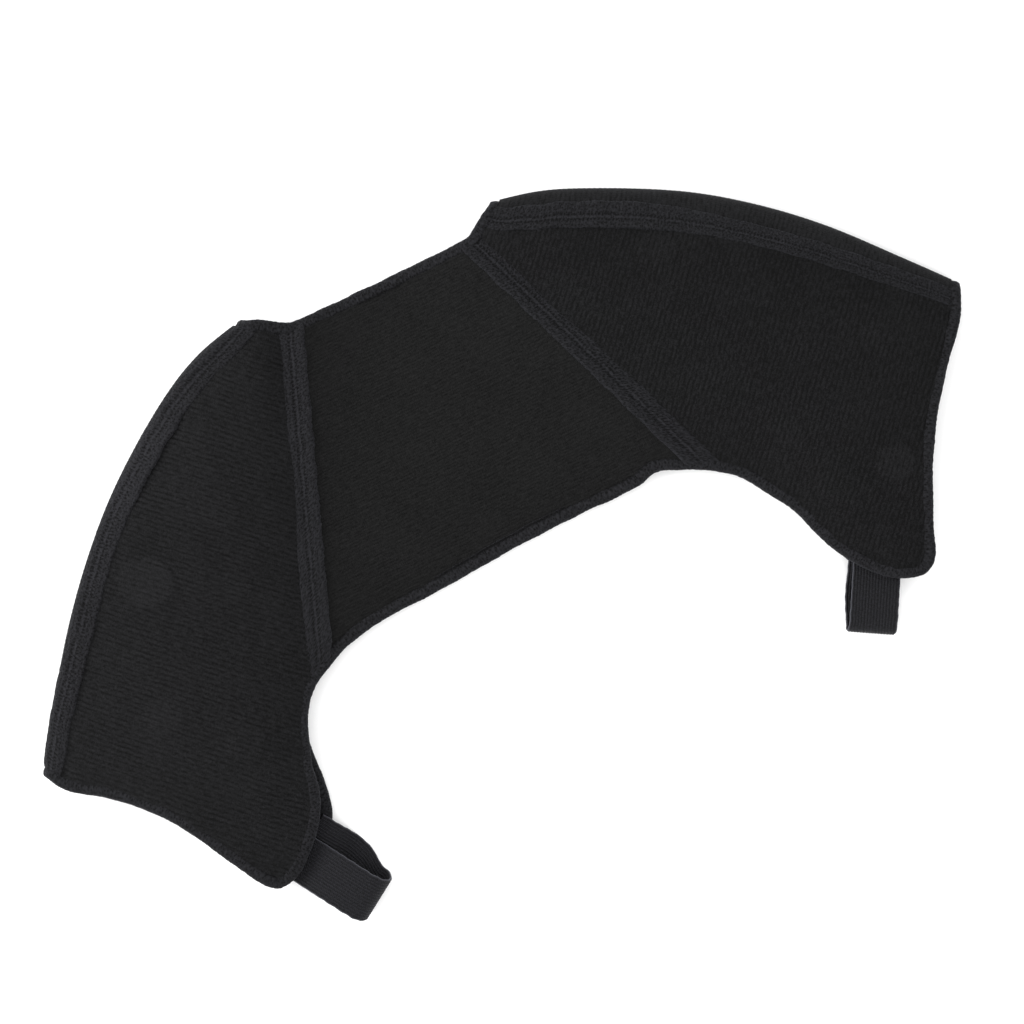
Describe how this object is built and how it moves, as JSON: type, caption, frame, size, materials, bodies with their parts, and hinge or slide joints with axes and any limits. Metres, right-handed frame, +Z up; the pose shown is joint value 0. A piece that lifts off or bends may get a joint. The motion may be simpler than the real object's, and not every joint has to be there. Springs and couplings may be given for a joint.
{
  "type": "shoulder support",
  "caption": "Bolero-like knitted shoulder support with two short open sleeves, hemmed edges, raised seam bands and an elastic loop under each arm, lying flat back face up.",
  "frame": {"origin": "on the surface it lies on, under the middle of the whole", "axes": "+X across the back towards the right sleeve as it is seen from above, +Y towards the neck edge, +Z up out of the back face"},
  "size_m": [0.5394, 0.307, 0.0281],
  "materials": {
    "rib_knit": "matt ribbed knit",
    "fine_rib_knit": "matt fine-ribbed knit",
    "stitched_edge": "looped overlock stitching",
    "elastic_webbing": "ribbed elastic webbing"
  },
  "bodies": {
    "root": {"center_back_panel": "fine_rib_knit", "neck_hem": "stitched_edge", "lower_hem": "stitched_edge", "left_sleeve_back": "rib_knit", "left_sleeve_front": "rib_knit", "left_back_seam": "stitched_edge", "left_shoulder_seam": "stitched_edge", "left_cuff_hem": "stitched_edge", "left_front_hem": "stitched_edge", "left_elastic_loop": "elastic_webbing", "right_sleeve_back": "rib_knit", "right_sleeve_front": "rib_knit", "right_back_seam": "stitched_edge", "right_shoulder_seam": "stitched_edge", "right_cuff_hem": "stitched_edge", "right_front_hem": "stitched_edge", "right_elastic_loop": "elastic_webbing"}
  },
  "joints": []
}
